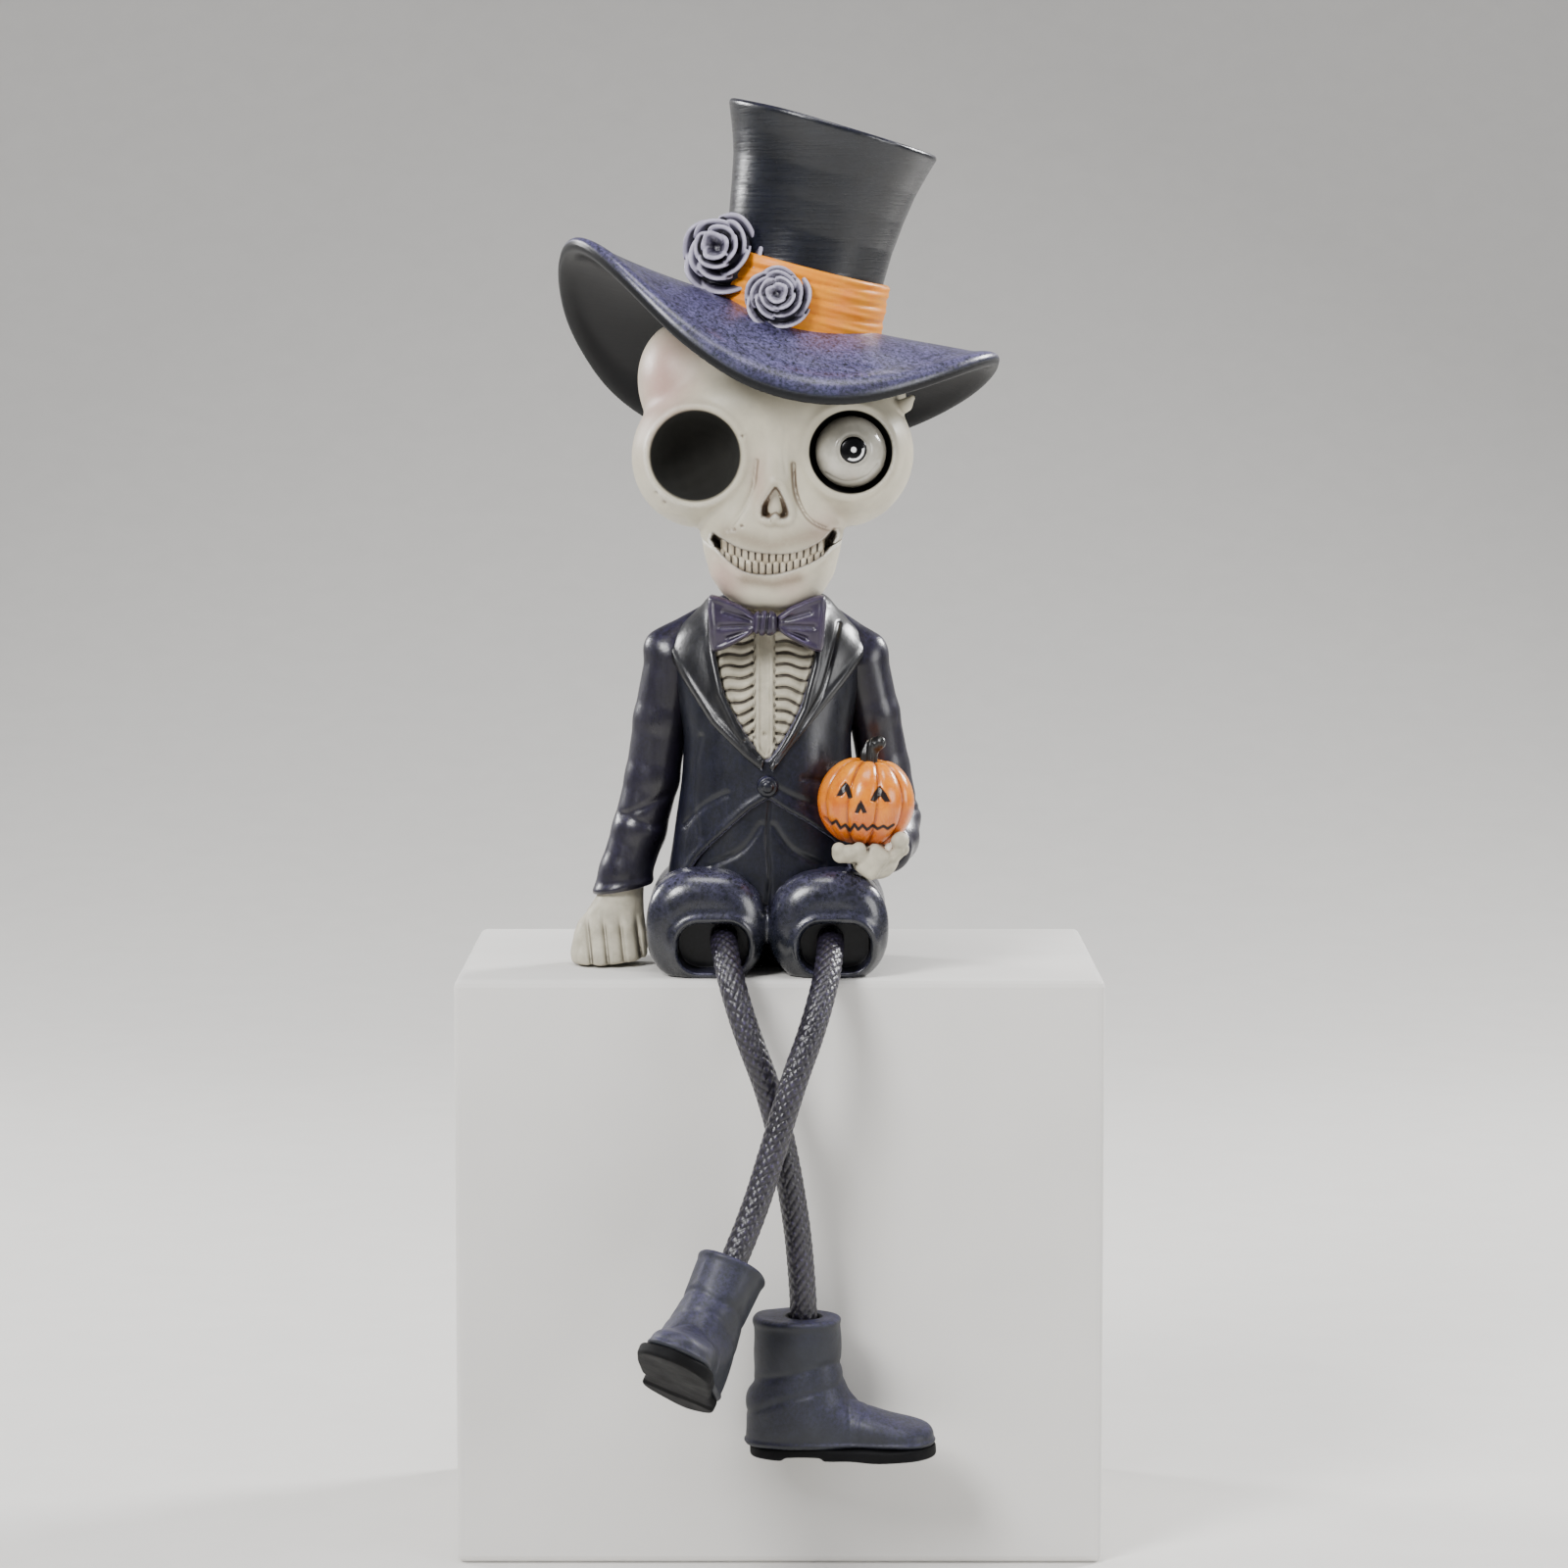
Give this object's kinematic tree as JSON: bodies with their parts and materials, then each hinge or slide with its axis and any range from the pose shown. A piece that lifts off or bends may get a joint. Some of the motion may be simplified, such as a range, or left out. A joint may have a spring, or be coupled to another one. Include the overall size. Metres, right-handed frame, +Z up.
{
  "type": "shelf sitter figure",
  "caption": "Seated skeleton gentleman in a tailcoat and leaning top hat, holding a carved pumpkin, with flexible cord legs and ankle boots that hang over a shelf edge.",
  "frame": {"origin": "middle of the flat seat face, which rests on the shelf; the legs hang below it in front", "axes": "+Z up, square to the seat face; +X towards the left of the figure; the figure faces -Y"},
  "size_m": [0.0719, 0.0964, 0.2146],
  "materials": {
    "painted_cloth": "satin hand-painted resin, blue-black",
    "bone": "matt antiqued ivory paint on resin",
    "eye": "satin ivory paint",
    "eye_dark": "gloss black paint",
    "bow": "satin grey-purple paint",
    "hat": "satin hand-painted resin, blue-black",
    "ribbon": "satin orange paint over pleats",
    "rose": "dark grey-purple with dry-brushed pale edges",
    "pumpkin": "satin orange paint with dark wash",
    "stem": "black paint",
    "cord": "waxed braided cotton cord, dark plum-brown",
    "boot": "matt dark slate paint",
    "sole": "matt black paint"
  },
  "bodies": {
    "figure": {"trousers": "painted_cloth", "jacket": "painted_cloth", "waistcoat": "painted_cloth", "right_lapel": "painted_cloth", "left_lapel": "painted_cloth", "right_sleeve": "painted_cloth", "left_sleeve": "painted_cloth", "jacket_button": "painted_cloth", "skull": "bone", "jaw": "bone", "upper_teeth": "bone", "lower_teeth": "bone", "ribcage": "bone", "right_hand": "bone", "left_hand": "bone", "neck": "bone", "eyeball": "eye", "pupil": "eye_dark", "bow_right_wing": "bow", "bow_left_wing": "bow", "bow_knot": "bow", "hat_brim": "hat", "hat_crown": "hat", "hat_band": "ribbon", "large_rose": "rose", "small_rose": "rose", "pumpkin": "pumpkin", "pumpkin_stem": "stem"},
    "right_knee": {"right_knee_cord": "cord"},
    "right_leg": {"right_leg_cord": "cord"},
    "right_boot": {"right_boot": "boot", "right_boot_sole": "sole"},
    "left_knee": {"left_knee_cord": "cord"},
    "left_leg": {"left_leg_cord": "cord"},
    "left_boot": {"left_boot": "boot", "left_boot_sole": "sole"}
  },
  "joints": [
    {"name": "right_leg_sway", "type": "hinge", "parent": "figure", "child": "right_knee", "pos_m": [-0.007, -0.0105, 0.0061], "axis": [0, 1, 0], "range_deg": [-8, 12], "stiffness_Nm_per_rad": 0.004, "deforming": ["right_knee_cord", "right_leg_cord"]},
    {"name": "right_leg_swing", "type": "hinge", "parent": "right_knee", "child": "right_leg", "pos_m": [-0.0064, -0.0228, 0.00365], "axis": [1, 0, 0], "range_deg": [0, 70], "stiffness_Nm_per_rad": 0.004, "deforming": ["right_knee_cord", "right_leg_cord"]},
    {"name": "right_boot_turn", "type": "hinge", "parent": "right_leg", "child": "right_boot", "pos_m": [0.00592, -0.02897, -0.0525], "axis": [-0.037, -0.0148, 0.9992], "range_deg": [-60, 20], "stiffness_Nm_per_rad": 0.002},
    {"name": "left_leg_sway", "type": "hinge", "parent": "figure", "child": "left_knee", "pos_m": [0.0102, -0.0105, 0.0056], "axis": [0, 1, 0], "range_deg": [-12, 8], "stiffness_Nm_per_rad": 0.004, "deforming": ["left_knee_cord", "left_leg_cord"]},
    {"name": "left_leg_swing", "type": "hinge", "parent": "left_knee", "child": "left_leg", "pos_m": [0.0099, -0.0228, 0.00365], "axis": [1, 0, 0], "range_deg": [0, 70], "stiffness_Nm_per_rad": 0.004, "deforming": ["left_knee_cord", "left_leg_cord"]},
    {"name": "left_boot_turn", "type": "hinge", "parent": "left_leg", "child": "left_boot", "pos_m": [-0.00523, -0.04003, -0.04185], "axis": [0.3939, 0.3939, 0.8305], "range_deg": [-25, 25], "stiffness_Nm_per_rad": 0.002}
  ],
  "couplings": [
    {"joint": "left_leg_swing", "follows": "right_leg_swing", "ratio": 1}
  ]
}
